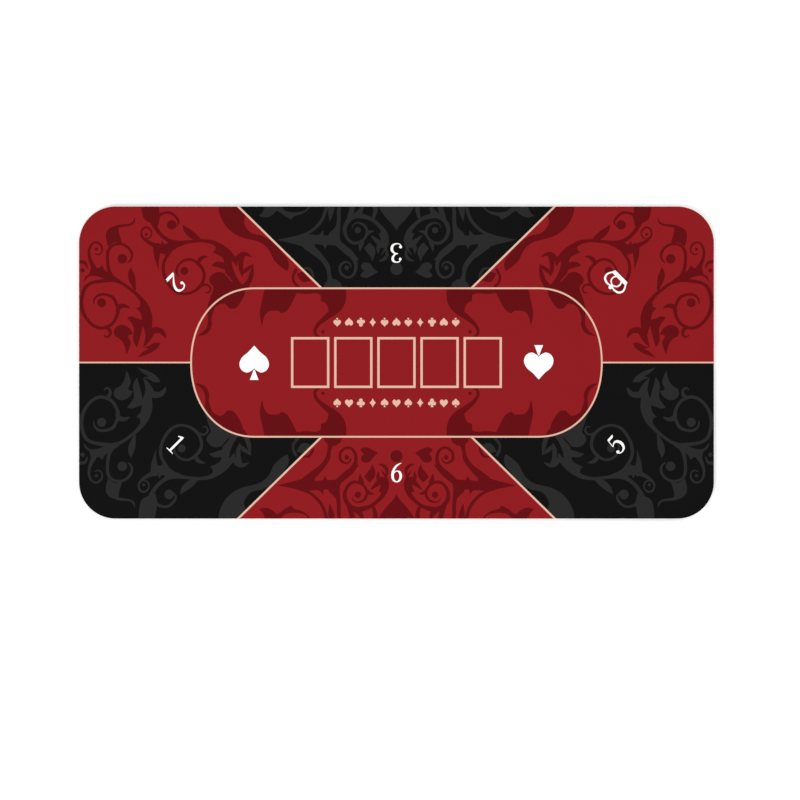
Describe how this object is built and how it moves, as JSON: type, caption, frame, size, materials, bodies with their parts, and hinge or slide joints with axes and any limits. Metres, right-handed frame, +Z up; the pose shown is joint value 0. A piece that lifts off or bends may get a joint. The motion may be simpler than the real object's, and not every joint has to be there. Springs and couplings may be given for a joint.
{
  "type": "folding poker table top",
  "caption": "Padded card table top with round corners and a printed poker layout, hinged on its own cloth so that its halves fold face to face.",
  "frame": {"origin": "centre of the open top's box, on the surface that the feet stand on; the fold line passes above it at X 0", "axes": "+X along the long side towards the right half, +Y across the top towards the far players, +Z up out of the playing face"},
  "size_m": [1.2, 0.59, 0.0178],
  "materials": {
    "board_fibre": "raw fibreboard, matt",
    "pad_foam": "closed-cell sponge, matt",
    "woven_tape": "black woven tape, matt",
    "printed_cloth": "red and black dye print on smooth knitted cloth, matt",
    "liner_felt": "black non-woven felt, matt",
    "foot_rubber": "moulded, satin",
    "screw_steel": "zinc plated"
  },
  "bodies": {
    "right_half": {"right_board": "board_fibre", "right_foam_pad": "pad_foam", "hinge_tape_right": "woven_tape", "playing_cloth_right": "printed_cloth", "right_underside_liner": "liner_felt", "right_foot_1": "foot_rubber", "right_foot_2": "foot_rubber", "right_foot_3": "foot_rubber", "right_foot_4": "foot_rubber", "right_foot_screw_1": "screw_steel", "right_foot_screw_2": "screw_steel", "right_foot_screw_3": "screw_steel", "right_foot_screw_4": "screw_steel"},
    "left_half": {"left_board": "board_fibre", "left_foam_pad": "pad_foam", "hinge_tape_left": "woven_tape", "playing_cloth_left": "printed_cloth", "left_underside_liner": "liner_felt", "left_foot_1": "foot_rubber", "left_foot_2": "foot_rubber", "left_foot_3": "foot_rubber", "left_foot_4": "foot_rubber", "left_foot_screw_1": "screw_steel", "left_foot_screw_2": "screw_steel", "left_foot_screw_3": "screw_steel", "left_foot_screw_4": "screw_steel"}
  },
  "joints": [
    {"name": "fold", "type": "hinge", "parent": "right_half", "child": "left_half", "pos_m": [0, 0, 0.0181], "axis": [0, 1, 0], "range_deg": [0, 180]}
  ]
}
